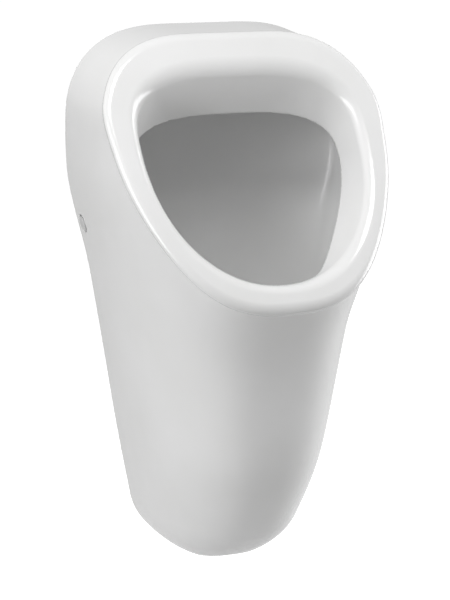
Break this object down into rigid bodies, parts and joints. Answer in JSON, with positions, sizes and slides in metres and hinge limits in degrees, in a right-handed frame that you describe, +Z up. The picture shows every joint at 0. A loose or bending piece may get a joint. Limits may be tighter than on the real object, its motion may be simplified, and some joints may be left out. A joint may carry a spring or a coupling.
{
  "type": "wall hung urinal",
  "caption": "Wall hung ceramic urinal with a dished face, side fixings under cover caps, rear water inlet, and a concealed trap with lift-out dip tube and strainer",
  "frame": {"origin": "centre of the four wall screws, on the wall plane", "axes": "+Z up, +Y into the wall, the front towards -Y"},
  "size_m": [0.3138, 0.3383, 0.5996],
  "materials": {
    "glazed_ceramic": "glossy white glaze",
    "cap_plastic": "glossy white moulded plastic",
    "white_plastic": "satin white moulded plastic",
    "plug_plastic": "grey nylon",
    "pipe_plastic": "grey waste pipe plastic",
    "zinc_steel": "zinc plated steel",
    "chrome": "polished chrome plate",
    "steel_strainer": "brushed stainless steel",
    "brass": "plain brass",
    "black_rubber": "black moulded rubber"
  },
  "bodies": {
    "fixed": {"ceramic_body": "glazed_ceramic", "left_wall_bracket": "zinc_steel", "right_wall_bracket": "zinc_steel", "screw_sleeves": "white_plastic", "clamp_screws": "zinc_steel", "clamp_nuts": "zinc_steel", "wall_washers": "zinc_steel", "wall_screws": "zinc_steel", "wall_plugs": "plug_plastic", "flush_spreader": "chrome", "spreader_gasket": "black_rubber", "spreader_rear_washer": "black_rubber", "spreader_locknut": "brass", "inlet_seal": "black_rubber", "inlet_pipe": "chrome", "trap_housing": "white_plastic", "housing_gasket": "black_rubber", "flange_gasket": "black_rubber", "clamp_flange": "chrome", "outlet_seal": "black_rubber", "waste_pipe": "pipe_plastic", "union_nut": "white_plastic", "wall_collar": "black_rubber"},
    "left_cap": {"left_cover_cap": "cap_plastic"},
    "right_cap": {"right_cover_cap": "cap_plastic"},
    "dip_insert": {"dip_tube": "white_plastic", "dip_tube_seal": "black_rubber"},
    "strainer_plate": {"strainer": "steel_strainer"}
  },
  "joints": [
    {"name": "left_cap_pull", "type": "slide", "parent": "fixed", "child": "left_cap", "axis": [-0.9704, 0, -0.2415], "range_m": [0, 0.016]},
    {"name": "right_cap_pull", "type": "slide", "parent": "fixed", "child": "right_cap", "axis": [0.9704, 0, -0.2415], "range_m": [0, 0.016]},
    {"name": "dip_tube_lift", "type": "slide", "parent": "fixed", "child": "dip_insert", "axis": [0, 0, 1], "range_m": [0, 0.15]},
    {"name": "strainer_lift", "type": "slide", "parent": "dip_insert", "child": "strainer_plate", "axis": [0, 0, 1], "range_m": [0, 0.06]}
  ]
}
